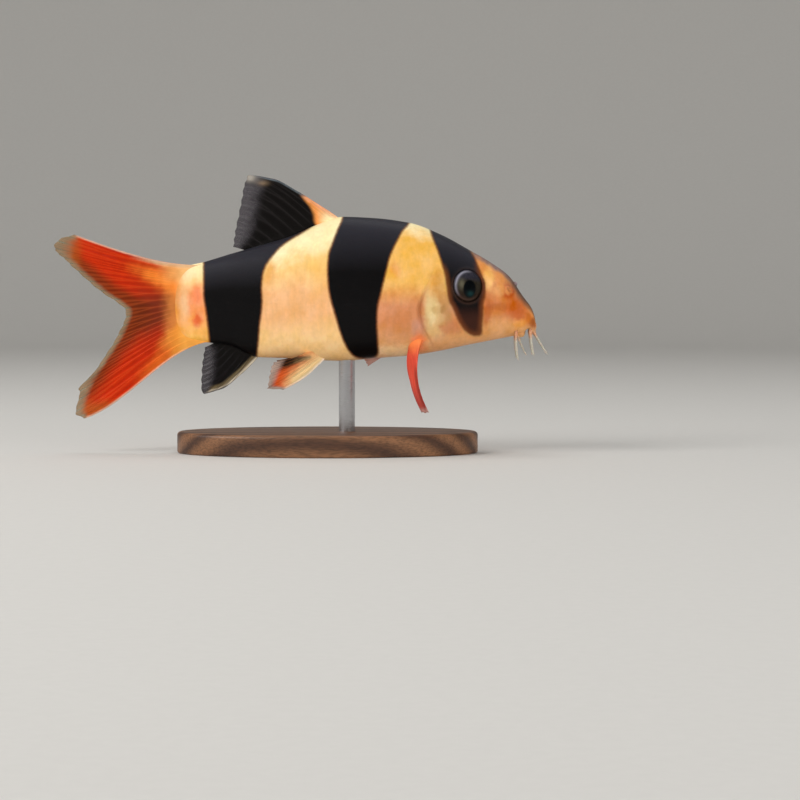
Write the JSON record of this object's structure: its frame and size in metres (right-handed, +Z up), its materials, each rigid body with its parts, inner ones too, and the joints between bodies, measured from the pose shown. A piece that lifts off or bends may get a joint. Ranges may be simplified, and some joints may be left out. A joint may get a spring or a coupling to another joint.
{
  "type": "clown loach model",
  "caption": "Life-size still model of a young clown loach: deep banded body, pointed snout with barbels, forked red tail, held over an oval plate by one short rod",
  "frame": {"origin": "on the floor, under the middle of the whole model's bounding box", "axes": "+X towards the snout, +Y towards the fish's left side, +Z up"},
  "size_m": [0.092, 0.029, 0.0517],
  "materials": {
    "golden_skin": "satin wet skin, golden with black bands",
    "orange_snout": "satin wet skin, orange with a black band over the eye",
    "cream_stalk": "satin wet skin, cream and orange",
    "red_fin": "satin, red-orange rays, paler clear edge",
    "dark_fin": "satin, black rays, grey clear edge",
    "pale_barbel": "satin skin, pale grey",
    "dark_eye": "clear and glossy, dark iris and black pupil",
    "oiled_walnut": "oiled walnut, satin",
    "brushed_steel": "brushed along the rod"
  },
  "bodies": {
    "root": {"head": "orange_snout", "trunk": "golden_skin", "tail_stalk": "cream_stalk", "eye_right": "dark_eye", "eye_left": "dark_eye", "stand_base": "oiled_walnut", "stand_rod": "brushed_steel", "dorsal_fin": "dark_fin", "anal_fin": "dark_fin", "caudal_fin_upper": "red_fin", "caudal_fin_lower": "red_fin", "pelvic_fin_right": "red_fin", "pelvic_fin_left": "red_fin", "pectoral_fin_right": "red_fin", "pectoral_fin_left": "red_fin", "barbel_snout_front_right": "pale_barbel", "barbel_snout_front_left": "pale_barbel", "barbel_snout_rear_right": "pale_barbel", "barbel_snout_rear_left": "pale_barbel", "barbel_mouth_corner_right": "pale_barbel", "barbel_mouth_corner_left": "pale_barbel", "barbel_lower_lip_right": "pale_barbel", "barbel_lower_lip_left": "pale_barbel"}
  },
  "joints": []
}
